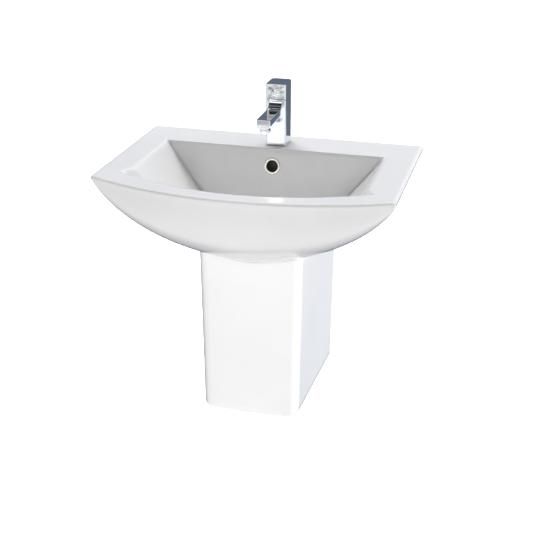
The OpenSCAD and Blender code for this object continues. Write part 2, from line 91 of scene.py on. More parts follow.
def edge_drop(e, r):
    """Height lost to a rounded edge of radius r, at a distance e past its start."""
    return np.where(e <= 0, 0, r - np.sqrt(np.maximum(0, r * r - np.maximum(e, 0) ** 2)))


def link(name, mesh):
    obj = bpy.data.objects.new(name, mesh)
    bpy.context.scene.collection.objects.link(obj)
    return obj


def mesh_from(name, verts, faces, offset=(0, 0, DECK)):
    """A mesh object from points in millimetres about offset, which is in metres."""
    verts = np.asarray(verts, float) * MM + np.array(offset)
    mesh = bpy.data.meshes.new(name)
    mesh.from_pydata(verts.tolist(), [], faces)
    mesh.validate()
    bm = bmesh.new()
    bm.from_mesh(mesh)
    bmesh.ops.recalc_face_normals(bm, faces=bm.faces)
    bm.to_mesh(mesh)
    bm.free()
    return link(name, mesh)


def grid_faces(rows, cols, wrap=True):
    """Quads over a grid of points stored row by row; wrap closes each row on itself."""
    faces = []
    for i in range(rows - 1):
        for j in range(cols if wrap else cols - 1):
            k = (j + 1) % cols
            faces.append((i * cols + j, i * cols + k, (i + 1) * cols + k, (i + 1) * cols + j))
    return faces


def loft(name, rings, offset=(0, 0, DECK), caps=True):
    """A closed skin through rings of equal length, capped at its first and last ring."""
    rings = np.asarray(rings, float)
    rows, cols = rings.shape[:2]
    faces = grid_faces(rows, cols)
    if caps:
        faces.append(tuple(range(cols)))
        faces.append(tuple((rows - 1) * cols + j for j in range(cols)))
    return mesh_from(name, rings.reshape(-1, 3), faces, offset)


def lathe(name, profile, offset, steps=96, tilt=0.0):
    """A profile of (radius, height) points in millimetres, turned about Z, then tilted about X."""
    rings = []
    for i in range(steps):
        a = 2 * math.pi * i / steps
        rings.append([(r * math.cos(a), r * math.sin(a), h) for r, h in profile])
    rings.append(rings[0])
    verts = [p for ring in rings[:-1] for p in ring]
    n = len(profile)
    faces = []
    for i in range(steps):
        for j in range(n):
            k, m = (j + 1) % n, (i + 1) % steps
            faces.append((i * n + j, m * n + j, m * n + k, i * n + k))
    turn = Matrix.Rotation(tilt, 3, "X")
    verts = [turn @ Vector(v) for v in verts]
    obj = mesh_from(name, verts, faces, offset)
    bm = bmesh.new()
    bm.from_mesh(obj.data)
    bmesh.ops.remove_doubles(bm, verts=bm.verts, dist=1e-6)
    bmesh.ops.dissolve_degenerate(bm, edges=bm.edges, dist=1e-7)
    bmesh.ops.recalc_face_normals(bm, faces=bm.faces)
    bm.to_mesh(obj.data)
    bm.free()
    return obj


def arc(cx, cy, r, a0, a1, steps=6):
    """Points (x, y) along an arc, angles in degrees."""
    angles = np.radians(np.linspace(a0, a1, steps + 1))
    return [(cx + r * math.cos(a), cy + r * math.sin(a)) for a in angles]


def settle(obj):
    """Applies the object's modifiers to its mesh."""
    bpy.context.view_layer.update()
    evaluated = obj.evaluated_get(bpy.context.evaluated_depsgraph_get())
    mesh = bpy.data.meshes.new_from_object(evaluated)
    obj.modifiers.clear()
    obj.data = mesh


def combine(obj, tool, how="DIFFERENCE"):
    """Cuts the tool out of obj, or joins it on, and removes the tool."""
    mod = obj.modifiers.new("combine", "BOOLEAN")
    mod.operation = how
    mod.solver = "MANIFOLD"
    mod.object = tool
    settle(obj)
    bpy.data.objects.remove(tool)


def soften(obj, width, angle=40, segments=3):
    """Rounds the object's hard edges, width in millimetres."""
    mod = obj.modifiers.new("bevel", "BEVEL")
    mod.width = width * MM
    mod.segments = segments
    mod.limit_method = "ANGLE"
    mod.angle_limit = math.radians(angle)
    mod.harden_normals = False


def shade(obj, angle=35):
    """Smooth shading with hard edges above an angle."""
    obj.data.polygons.foreach_set("use_smooth", [True] * len(obj.data.polygons))
    obj.data.set_sharp_from_angle(angle=math.radians(angle))


def flatten(obj):
    """Keeps the shading of big flat faces flat beside their rounded edges."""
    mod = obj.modifiers.new("flat_faces", "WEIGHTED_NORMAL")
    mod.keep_sharp = True
    mod.weight = 100
    settle(obj)


def cylinder(radius, z0, z1, at=(0, 0, 0), tilt=0.0, steps=64):
    """A plain round cutter or boss, in millimetres; at is in metres."""
    ring = [(radius * math.cos(a), radius * math.sin(a)) for a in np.linspace(0, 2 * math.pi, steps, endpoint=False)]
    turn = Matrix.Rotation(tilt, 3, "X")
    rings = [[tuple(turn @ Vector((x, y, z))) for x, y in ring] for z in (z0, z1)]
    return loft("cutter", rings, at)


def rounded_rect(w, d, front_r, back_r, inset=0.0, steps=8):
    """Outline of a block in plan, with one radius at the front corners and one at the back."""
    hw, hd = w / 2 - inset, d / 2 - inset
    fr, br = max(front_r - inset, 0.3), max(back_r - inset, 0.3)
    return (arc(hw - fr, -hd + fr, fr, -90, 0, steps) + arc(hw - br, hd - br, br, 0, 90, steps)
            + arc(-hw + br, hd - br, br, 90, 180, steps) + arc(-hw + fr, -hd + fr, fr, 180, 270, steps))


def block(name, outline, z0, z1, edge, offset, foot_edge=None):
    """A prism whose upper and lower edges are rounded; outline(inset) gives its plan."""
    foot_edge = edge if foot_edge is None else foot_edge
    rings = []
    for i in range(5):
        a = math.radians(90 * i / 4)
        rings.append((foot_edge * (1 - math.sin(a)), z0 + foot_edge * (1 - math.cos(a))))
    for i in range(5):
        a = math.radians(90 * i / 4)
        rings.append((edge * (1 - math.cos(a)), z1 - edge * (1 - math.sin(a))))
    return loft(name, [[(x, y, z) for x, y in outline(inset)] for inset, z in rings], offset)


# ---------------------------------------------------------------- materials

def node_material(name, color, roughness, metallic=0.0):
    mat = bpy.data.materials.new(name)
    mat.use_nodes = True
    shader = mat.node_tree.nodes["Principled BSDF"]
    shader.inputs["Base Color"].default_value = (*color, 1)
    shader.inputs["Roughness"].default_value = roughness
    shader.inputs["Metallic"].default_value = metallic
    return mat, mat.node_tree, shader


def add(tree, kind, **values):
    node = tree.nodes.new(kind)
    for key, value in values.items():
        if key in node.inputs:
            node.inputs[key].default_value = value
        else:
            setattr(node, key, value)
    return node


def place(tree):
    return add(tree, "ShaderNodeTexCoord").outputs["Object"]


def noise(tree, scale, detail=2.0, rough=0.5, stretch=None):
    """A noise texture in the object's own place, optionally stretched."""
    source = place(tree)
    if stretch:
        mapping = add(tree, "ShaderNodeMapping")
        mapping.inputs["Scale"].default_value = stretch
        tree.links.new(source, mapping.inputs["Vector"])
        source = mapping.outputs["Vector"]
    tex = add(tree, "ShaderNodeTexNoise", Scale=scale, Detail=detail, Roughness=rough)
    tree.links.new(source, tex.inputs["Vector"])
    return tex.outputs["Fac"]


def spread(tree, source, low, high, from_low=0.3, from_high=0.7):
    """Maps a texture's middle range to low..high."""
    node = add(tree, "ShaderNodeMapRange")
    node.inputs["From Min"].default_value = from_low
    node.inputs["From Max"].default_value = from_high
    node.inputs["To Min"].default_value = low
    node.inputs["To Max"].default_value = high
    tree.links.new(source, node.inputs["Value"])
    return node.outputs["Result"]


def tint(tree, source, dark, light):
    """A colour between dark and light, as the texture goes from low to high."""
    ramp = add(tree, "ShaderNodeValToRGB")
    ramp.color_ramp.elements[0].position = 0.35
    ramp.color_ramp.elements[0].color = (*dark, 1)
    ramp.color_ramp.elements[1].position = 0.65
    ramp.color_ramp.elements[1].color = (*light, 1)
    tree.links.new(source, ramp.inputs["Fac"])
    return ramp.outputs["Color"]


def bump(tree, shader, source, strength, distance, below=None):
    node = add(tree, "ShaderNodeBump")
    node.inputs["Strength"].default_value = strength
    node.inputs["Distance"].default_value = distance
    tree.links.new(source, node.inputs["Height"])
    if below is not None:
        tree.links.new(below, node.inputs["Normal"])
    tree.links.new(node.outputs["Normal"], shader.inputs["Normal"])
    return node.outputs["Normal"]


def glaze(name, white):
    """White vitreous glaze: a clear coat over a faintly uneven white body, matt where it meets the wall."""
    mat, tree, shader = node_material(name, white, 0.22)
    shader.inputs["IOR"].default_value = 1.5
    shader.inputs["Coat Weight"].default_value = 0.6
    shader.inputs["Coat Roughness"].default_value = 0.03
    shader.inputs["Coat IOR"].default_value = 1.5
    cloud = noise(tree, 9.0, 3.0)
    light = tuple(min(1.0, c * 1.012) for c in white)
    dark = tuple(c * 0.985 for c in white)
    glazed = tint(tree, cloud, dark, light)
    # The face against the wall is bare biscuit, without glaze
    split = add(tree, "ShaderNodeSeparateXYZ")
    tree.links.new(place(tree), split.inputs["Vector"])
    bare = spread(tree, split.outputs["Y"], 0.0, 1.0, -0.0016, -0.0006)
    mix = add(tree, "ShaderNodeMix", data_type="RGBA")
    tree.links.new(bare, mix.inputs["Factor"])
    tree.links.new(glazed, mix.inputs["A"])
    mix.inputs["B"].default_value = (0.72, 0.70, 0.66, 1)
    tree.links.new(mix.outputs["Result"], shader.inputs["Base Color"])
    rough = add(tree, "ShaderNodeMix", data_type="FLOAT")
    tree.links.new(bare, rough.inputs["Factor"])
    tree.links.new(spread(tree, noise(tree, 160.0, 2.0), 0.08, 0.13), rough.inputs["A"])
    rough.inputs["B"].default_value = 0.85
    tree.links.new(rough.outputs["Result"], shader.inputs["Roughness"])
    wave = bump(tree, shader, noise(tree, 38.0, 1.5), 0.05, 0.0006)
    bump(tree, shader, noise(tree, 700.0, 1.0), 0.03, 0.00006, wave)
    return mat


def chrome():
    """Polished chrome plate with faint wiping marks."""
    mat, tree, shader = node_material("chrome", (0.86, 0.88, 0.91), 0.04, 1.0)
    marks = noise(tree, 90.0, 4.0, 0.6, (1.0, 1.0, 4.0))
    tree.links.new(spread(tree, marks, 0.02, 0.07), shader.inputs["Roughness"])
    bump(tree, shader, noise(tree, 900.0, 2.0, 0.5, (1.0, 1.0, 5.0)), 0.02, 0.00002)
    return mat


def satin_nickel():
    """The overflow ring's warmer, softer plating."""
    mat, tree, shader = node_material("satin_plating", (0.80, 0.76, 0.68), 0.16, 1.0)
    tree.links.new(spread(tree, noise(tree, 300.0, 3.0), 0.10, 0.22), shader.inputs["Roughness"])
    bump(tree, shader, noise(tree, 1500.0, 2.0), 0.04, 0.00003)
    return mat


def plastic():
    """White moulded plastic with a fine satin grain."""
    mat, tree, shader = node_material("white_plastic", (0.80, 0.80, 0.77), 0.38)
    shader.inputs["Specular IOR Level"].default_value = 0.45
    tree.links.new(tint(tree, noise(tree, 25.0), (0.77, 0.77, 0.74), (0.83, 0.83, 0.80)), shader.inputs["Base Color"])
    tree.links.new(spread(tree, noise(tree, 400.0), 0.32, 0.46), shader.inputs["Roughness"])
    bump(tree, shader, noise(tree, 1800.0, 2.0), 0.12, 0.00005)
    return mat


def rubber():
    """Matt black rubber with moulding bloom."""
    mat, tree, shader = node_material("rubber", (0.03, 0.03, 0.032), 0.75)
    dust = tint(tree, noise(tree, 60.0, 4.0), (0.022, 0.022, 0.024), (0.05, 0.05, 0.05))
    tree.links.new(dust, shader.inputs["Base Color"])
    tree.links.new(spread(tree, noise(tree, 500.0, 3.0), 0.62, 0.85), shader.inputs["Roughness"])
    bump(tree, shader, noise(tree, 1400.0, 3.0), 0.25, 0.0001)
    return mat


def brass():
    """Machined brass with turning lines."""
    mat, tree, shader = node_material("brass", (0.78, 0.58, 0.28), 0.25, 1.0)
    tarnish = tint(tree, noise(tree, 40.0, 4.0), (0.66, 0.47, 0.2), (0.84, 0.65, 0.34))
    tree.links.new(tarnish, shader.inputs["Base Color"])
    lines = noise(tree, 60.0, 3.0, 0.6, (1.0, 1.0, 60.0))
    tree.links.new(spread(tree, lines, 0.16, 0.36), shader.inputs["Roughness"])
    bump(tree, shader, lines, 0.2, 0.00005)
    return mat


def steel():
    """Zinc-plated steel with a mottled, brushed surface."""
    mat, tree, shader = node_material("steel", (0.60, 0.61, 0.63), 0.3, 1.0)
    mottle = tint(tree, noise(tree, 120.0, 5.0), (0.50, 0.51, 0.54), (0.70, 0.70, 0.70))
    tree.links.new(mottle, shader.inputs["Base Color"])
    grain = noise(tree, 200.0, 3.0, 0.5, (1.0, 1.0, 10.0))
    tree.links.new(spread(tree, grain, 0.22, 0.42), shader.inputs["Roughness"])
    bump(tree, shader, noise(tree, 1000.0, 3.0, 0.5, (1.0, 1.0, 12.0)), 0.12, 0.00004)
    return mat


def disc_ceramic():
    """Lapped alumina of the cartridge discs."""
    mat, tree, shader = node_material("disc_ceramic", (0.86, 0.84, 0.79), 0.3)
    specks = tint(tree, noise(tree, 250.0, 4.0), (0.82, 0.80, 0.75), (0.88, 0.86, 0.82))
    tree.links.new(specks, shader.inputs["Base Color"])
    tree.links.new(spread(tree, noise(tree, 900.0), 0.22, 0.38), shader.inputs["Roughness"])
    return mat


def sealant():
    """White silicone, smoothed by finger."""
    mat, tree, shader = node_material("sealant", (0.80, 0.80, 0.79), 0.45)
    tree.links.new(tint(tree, noise(tree, 40.0), (0.78, 0.78, 0.77), (0.82, 0.82, 0.81)), shader.inputs["Base Color"])
    tree.links.new(spread(tree, noise(tree, 220.0), 0.38, 0.55), shader.inputs["Roughness"])
    bump(tree, shader, noise(tree, 150.0, 3.0), 0.15, 0.0003)
    return mat


def paint_floor():
    """A white studio floor, lit from below so that it stays plain to its edges."""
    mat, tree, shader = node_material("studio_floor", (0.9, 0.9, 0.9), 0.9)
    shader.inputs["Specular IOR Level"].default_value = 0.0
    shader.inputs["Emission Color"].default_value = (1, 1, 1, 1)
    shader.inputs["Emission Strength"].default_value = 1.0
    cloud = tint(tree, noise(tree, 3.0), (0.595, 0.595, 0.595), (0.605, 0.605, 0.605))
    tree.links.new(cloud, shader.inputs["Base Color"])
    return mat


# ---------------------------------------------------------------- basin

RIM_H, RIM_R, SIDE_R, CORNER_R, FRONT_BOW = 8, 4.5, 8, 5, 64
BOAT_HALF, BOAT_FRONT, BOAT_BOW = HALF_W - 2, BASIN_D - 4, 63
BOAT_H, BOAT_M, BOAT_P = (DECK - basin_low.z) / MM - RIM_H, 1.61, 0.644
BOAT_N_MID, BOAT_N_SIDE = 2.82, 4.77
BOWL_HALF, SHELF_D, BOWL_FRONT, TOE_X, TOE_BOW = 215.5, 91, 360, 228.5, 62
SIDE_RUN, BACK_RUN, FRONT_RUN = 0.85, 0.24, 0.6
BOWL_H, WASTE_D, TAP_Y = 129, 205, 50
OVERFLOW_LOW = 33
BACK_TILT = math.atan(BACK_RUN)


def rim_top(x):
    """The deck's height, which rolls off over its last few millimetres at each side."""
    return -edge_drop(np.abs(x) - (HALF_W - SIDE_R), SIDE_R) * 5 / SIDE_R


def rim_front(x):
    return -(BASIN_D - FRONT_BOW * (x / HALF_W) ** 2) + edge_drop(np.abs(x) - (HALF_W - CORNER_R), CORNER_R)


def boat_edge(x):
    inside = -(BOAT_FRONT - BOAT_BOW * (x / BOAT_HALF) ** 2)
    return np.where(np.abs(x) >= BOAT_HALF, rim_front(x) + 2.5, inside)


def boat_n(x):
    """Exponent of the underside's front-to-back curve, which is squarer at the sides."""
    return BOAT_N_MID + (BOAT_N_SIDE - BOAT_N_MID) * (x / BOAT_HALF) ** 2


def boat_drop(x):
    return BOAT_H * np.maximum(1 - np.minimum(np.abs(x) / BOAT_HALF, 1) ** BOAT_M, 0) ** BOAT_P


def under_z(x, y):
    """Height of the underside below the deck at a place in plan."""
    run = np.clip(y / boat_edge(x), 0, 1)
    return -RIM_H - boat_drop(x) * (1 - run ** boat_n(x)) ** (1 / boat_n(x))


def nose(x):
    """The bowl's front edge."""
    return -BOWL_FRONT + TOE_BOW * (x / TOE_X) ** 2


def bowl_depth(x, y):
    """Depth of the bowl below the deck: sloping walls, a dished floor and rounded meetings."""
    flare = 13 * smoothstep((-y - 262) / 40)
    side = (BOWL_HALF + flare - np.abs(x)) / SIDE_RUN
    back = (-SHELF_D - y) / BACK_RUN
    front = (y - nose(x)) / FRONT_RUN
    waste_r = np.hypot(x, y + WASTE_D)
    floor = BOWL_H - 0.0009 * waste_r ** 2
    walls = soft_min(soft_min(side, back, 14), front, 16)
    depth = soft_min(walls, floor, 46)
    depth = -soft_min(-depth, np.zeros_like(depth), 9)
    return depth + 3.2 * smoothstep((35.2 - waste_r) / 2.4)


def stations():
    """Places across the basin, closer together where its surface turns."""
    half = np.concatenate([
        np.arange(0, 108, 3.6), np.arange(108, 130, 2.2), np.arange(130, 203, 3.2),
        np.arange(203, 236, 1.3), np.arange(236, 254, 2.4),
        np.arange(254, HALF_W - SIDE_R, 1.8), HALF_W - SIDE_R + SIDE_R * np.sin(np.radians(np.linspace(0, 90, 12)))])
    half = np.unique(np.round(half, 4))
    return np.concatenate([-half[:0:-1], half])


def basin_section(x):
    """The closed outline of the basin at one station: deck and bowl, front edge, rim, underside and back."""
    front_line = nose(np.array(x))
    rows = np.concatenate([
        [-3.0], np.arange(-8, -82, -8.0), np.arange(-84, -128, -1.15)])
    near = front_line + np.concatenate([np.arange(84, 10, -3.4), np.arange(10, -9, -1.1)])
    middle = np.linspace(rows[-1], near[0], 50)[1:-1]
    edge = float(rim_front(np.array(x))) + RIM_R
    last = np.linspace(near[-1], edge, 9)[1:-1]
    y = np.concatenate([rows, middle, near, last])
    top = float(rim_top(np.array(x)))
    z = top - bowl_depth(np.full_like(y, x), y)
    back_r = 2.5
    pts = [(-back_r + back_r * math.cos(a), top - back_r + back_r * math.sin(a))
           for a in np.radians(np.linspace(0, 90, 5))]
    pts += list(zip(y, z))
    squash = 1 - 0.45 * smoothstep((abs(x) - (HALF_W - RIM_R)) / RIM_R)
    for a in np.radians(np.linspace(0, 90, 8)):
        pts.append((edge - RIM_R * math.sin(a), top - RIM_R * squash * (1 - math.cos(a))))
    foot = -RIM_H + 0.8 * float(edge_drop(np.array(abs(x) - (HALF_W - 1.5)), 1.5))
    face = edge - RIM_R
    for a in np.radians(np.linspace(0, 90, 5)):
        pts.append((face + 1.2 * (1 - math.cos(a)), foot + 1.2 - 1.2 * math.sin(a)))
    start = float(boat_edge(np.array(x)))
    drop = float(boat_drop(np.array(x)))
    power = float(boat_n(np.array(x)))
    pts.append((face + 0.7 * (start - face), foot))
    for a in np.radians(np.linspace(0, 90, 44)):
        reach = (math.cos(a) ** power + math.sin(a) ** power) ** (-1 / power)
        pts.append((start * reach * math.cos(a), foot - drop * reach * math.sin(a)))
    low = foot - drop
    for t in np.linspace(0, 1, 12)[1:-1]:
        pts.append((0.0, low + t * (top - back_r - low)))
    return [(x, py, pz) for py, pz in pts]


def make_basin():
    basin = loft("basin_glazed", [basin_section(x) for x in stations()])
    cavity_top, back_wall = -26, 18
    for x0, x1, front in ((-198, -32, -84), (32, 198, -84), (-34, 34, -74)):
        plan = lambda inset, x0=x0, x1=x1, front=front: [
            (px + (x0 + x1) / 2, py + (front - back_wall) / 2)
            for px, py in rounded_rect(x1 - x0, -back_wall - front, 7, 7, inset)]
        combine(basin, block("cutter", plan, -220, cavity_top, 6, (0, 0, DECK)))
    tap_hole_r, waste_hole_r, nut_recess_r = 17.5, 23, 36
    combine(basin, cylinder(tap_hole_r, -60, 20, (0, -TAP_Y * MM, DECK)))
    combine(basin, cylinder(waste_hole_r, -220, -100, (0, -WASTE_D * MM, DECK)))
    combine(basin, cylinder(nut_recess_r, -220, -163, (0, -WASTE_D * MM, DECK)))
    wall_y = -(SHELF_D + BACK_RUN * OVERFLOW_LOW) * MM
    combine(basin, cylinder(12.5, -14, 20, (0, wall_y, DECK - OVERFLOW_LOW * MM), math.pi / 2 - BACK_TILT))
    duct_y, duct_low = -87, 147
    slope = (duct_low - OVERFLOW_LOW) / math.cos(BACK_TILT)
    combine(basin, cylinder(7, -slope - 4, 4, (0, duct_y * MM, DECK - OVERFLOW_LOW * MM), -BACK_TILT))
    duct_foot = -duct_y + BACK_RUN * (duct_low - OVERFLOW_LOW)
    combine(basin, cylinder(6, duct_foot - 4, WASTE_D, (0, 0, DECK - duct_low * MM), math.pi / 2))
    for side in (-1, 1):
        combine(basin, cylinder(12, -5, 22, (side * 0.14, 0, 0), math.pi / 2))
    shade(basin, 32)
    finish_piece(basin, "glaze", "fixture", ["basin"])


# ---------------------------------------------------------------- semi-pedestal

SHROUD_D, SHROUD_T, SHROUD_R, SHROUD_LOW = 277, 12, 25, 478.5
SHROUD_HALF, SHROUD_TAPER, SHROUD_LEAN, SHROUD_CROWN = 106.5, 4, 8, 4
SEAL_GAP = 3


def shroud_path(low, inset):
    """Plan outline of the shroud, from the wall round the front and back, at low from 0, top, to 1."""
    def half(y):
        return SHROUD_HALF - SHROUD_TAPER * low + SHROUD_LEAN * y / SHROUD_D
    w, r = half(-SHROUD_D) - inset, SHROUD_R - inset
    side = SHROUD_D - SHROUD_CROWN - inset
    corner = [(w - r * (1 - math.cos(a)), -(side - r) - r * math.sin(a))
              for a in np.radians(np.linspace(0, 90, 17))]
    ys = np.linspace(0, -(side - r), 26)[:-1]
    # The straight side runs to the corner's start, so that it meets the arc without a kink
    at_wall = half(0) - inset
    right = [(at_wall + (corner[0][0] - at_wall) * y / ys[-1] * (len(ys) - 1) / len(ys), y) for y in ys]
    right += corner
    for i in range(1, 13):
        x = (w - r) * (1 - i / 12)
        right.append((x, -(side + SHROUD_CROWN * (1 - (x / (w - r)) ** 2))))
    return np.array(right + [(-x, y) for x, y in right[-2::-1]])


def make_shroud():
    outer0, outer1 = shroud_path(0, 0), shroud_path(1, 0)
    inner0, inner1 = shroud_path(0, SHROUD_T), shroud_path(1, SHROUD_T)
    rounding = [(3.2, 0), (1.5, 0.5), (0.5, 1.5), (0, 3.2)]
    loop = [(s, "top", d) for s, d in rounding]
    loop += [(0, "side", t) for t in np.linspace(0.05, 0.95, 16)]
    loop += [(s * 1.5, "low", d * 1.5) for s, d in reversed(rounding)]
    loop += [(SHROUD_T - s, "low", d) for s, d in rounding]
    loop += [(SHROUD_T, "side", t) for t in np.linspace(0.95, 0.05, 16)]
    loop += [(SHROUD_T - s, "top", d) for s, d in reversed(rounding)]
    rings = []
    for o0, o1, i0, i1 in zip(outer0, outer1, inner0, inner1):
        head = under_z(o0[0], o0[1]) - SEAL_GAP
        ring = []
        for s, kind, value in loop:
            span = SHROUD_LOW + head
            z = {"top": head - value, "low": -SHROUD_LOW + value, "side": head - value * span}[kind]
            t = (head - z) / span
            outer, inner = o0 + (o1 - o0) * t, i0 + (i1 - i0) * t
            x, y = outer + (inner - outer) * s / SHROUD_T
            ring.append((x, y, z))
        rings.append(ring)
    shroud = loft("semi_pedestal_glazed", rings)
    for side in (-1, 1):
        plan = lambda inset, side=side: [(x + side * 81, y - 24) for x, y in rounded_rect(30, 20, 3, 3, inset)]
        combine(shroud, block("lug", plan, -340, -304, 2.5, (0, 0, DECK)), "UNION")
        combine(shroud, cylinder(6, -5, 40, (side * 0.078, 0, DECK - 0.322), math.pi / 2))
    shade(shroud, 32)
    # The pedestal takes the lighter copy of the glaze, which is painted light
    finish_piece(shroud, "lit_shroud_glaze", "fixture", ["semi_pedestal"])


# ---------------------------------------------------------------- tap

TAP_W, TAP_D, SEAM_Z, BODY_FOOT, LEVER_TOP = 40, 47, 91, 0.8, 121
SPOUT_W, SPOUT_TOP, SPOUT_LOW, SPOUT_REACH, SPOUT_EDGE = 26.5, 76, 57, 165, 1.6
TAP_AT = (0, -TAP_Y * MM, DECK)
AERATOR_Y = -(SPOUT_REACH - TAP_Y - 13)
AERATOR_R, AERATOR_INNER, AERATOR_DROP = 9.2, 7.7, 7.4
PIN_Y, PIN_Z = 15.5, 97


def tap_outline(inset):
    return rounded_rect(TAP_W, TAP_D, 4.5, 8.5, inset, 10)


def spout_ring(y, top, low, half, inset):
    """One section of the spout: nearly square above, well rounded below."""
    half, top, low = half - inset, top - inset, low + inset
    up, down = max(SPOUT_EDGE - inset, 0.2), max(min(9, (top - low) / 2 - 0.5) - inset, 0.2)
    pts = (arc(half - up, top - up, up, 0, 90, 6) + arc(-half + up, top - up, up, 90, 180, 6)
           + arc(-half + down, low + down, down, 180, 270, 12) + arc(half - down, low + down, down, 270, 360, 12))
    return [(x, y, z) for x, z in pts]


def make_spout():
    front = -TAP_D / 2
    end = -(SPOUT_REACH - TAP_Y)
    rings = []
    for y in np.concatenate([[front + 12, front + 1], np.linspace(front, front - 26, 27),
                             np.linspace(front - 30, end + SPOUT_EDGE, 16)]):
        out = min(max(front - y, 0), 24)
        rise = 15 * (1 - math.sqrt(max(0, 1 - (1 - min(out, 20) / 20) ** 2))) if out < 20 else 0
        root = 12 * (1 - math.sqrt(max(0, 1 - (1 - out / 24) ** 2)))
        rings.append(spout_ring(y, SPOUT_TOP + min(rise, 14.6), SPOUT_LOW - root, SPOUT_W / 2, 0))
    for a in np.radians(np.linspace(15, 90, 6)):
        y = end + SPOUT_EDGE * (1 - math.sin(a))
        rings.append(spout_ring(y, SPOUT_TOP, SPOUT_LOW, SPOUT_W / 2, SPOUT_EDGE * (1 - math.cos(a))))
    return loft("spout", rings, TAP_AT)


def make_tap_body():
    body = block("tap_body_chrome", tap_outline, BODY_FOOT, SEAM_Z, 1.1, TAP_AT, 1.2)
    combine(body, make_spout(), "UNION")
    combine(body, cylinder(17.2, 52, 112, TAP_AT))
    for side in (-1, 1):
        at = (side * 8 * MM, -(TAP_Y + 4) * MM, DECK)
        combine(body, cylinder(4.5, -1, 57, at))
    combine(body, cylinder(4, -1, 16, (0, -(TAP_Y - 11) * MM, DECK)))
    combine(body, cylinder(4, 15.2, -AERATOR_Y, (0, -TAP_Y * MM, DECK + 66 * MM), math.pi / 2, 32))
    combine(body, cylinder(AERATOR_R, SPOUT_LOW - 5, SPOUT_LOW + 12, (0, (-TAP_Y + AERATOR_Y) * MM, DECK)))
    shade(body, 30)
    flatten(body)
    finish_piece(body, "chrome", "fixture", ["tap_body"])


def make_lever():
    lever = block("lever_chrome", tap_outline, SEAM_Z + 0.5, LEVER_TOP, 1.4, TAP_AT, 1.0)
    inner = lambda inset: rounded_rect(TAP_W - 5, TAP_D - 5, 2.5, 6, inset)
    combine(lever, block("cutter", inner, SEAM_Z - 10, LEVER_TOP - 5, 1.5, TAP_AT))
    # Ribs that push the spindle, and bosses that hold the hinge pin
    for side in (-1, 1):
        combine(lever, box_piece((-18, side * 6.2 - 1.5, 103), (18, side * 6.2 + 1.5, 106)), "UNION")
        boss = box_piece((side * 14 - 4, PIN_Y - 4, PIN_Z - 3.5), (side * 14 + 4, 21.5, PIN_Z + 3.5))
        combine(lever, boss, "UNION")
    pin_at = (0, (-TAP_Y + PIN_Y) * MM, DECK + PIN_Z * MM)
    hole = cylinder(1.5, -19, 19, (0, 0, 0), 0, 32)
    hole.data.transform(Matrix.Translation(pin_at) @ Matrix.Rotation(math.pi / 2, 4, "Y"))
    combine(lever, hole)
    combine(lever, cylinder(2, -20, 0, (0.014, pin_at[1], pin_at[2]), math.pi / 2, 32))
    # The hinge side is relieved so that the block clears the body as it lifts
    relief = box_piece((-2 * TAP_W, 0, -10), (2 * TAP_W, 20, 0), (0, 0, 0))
    turn = Matrix.Rotation(math.radians(22), 4, "X")
    relief.data.transform(Matrix.Translation((0, (-TAP_Y + PIN_Y - 1.5) * MM, DECK + (SEAM_Z + 0.2) * MM)) @ turn)
    combine(lever, relief)
    shade(lever, 30)
    flatten(lever)
    finish_piece(lever, "chrome", "lever", ["lever"])


def box_piece(low, high, offset=TAP_AT):
    """A plain block between two corners, in millimetres: a cutter, or a boss to be joined on."""
    outline = [(low[0], low[1]), (high[0], low[1]), (high[0], high[1]), (low[0], high[1])]
    return loft("block", [[(x, y, z) for x, y in outline] for z in (low[2], high[2])], offset)


def finish_piece(obj, material, body, replaced):
    obj.data.materials.clear()
    obj.data.materials.append(MATERIALS[material])
    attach(obj, body)
    if replaced:
        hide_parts(*replaced)


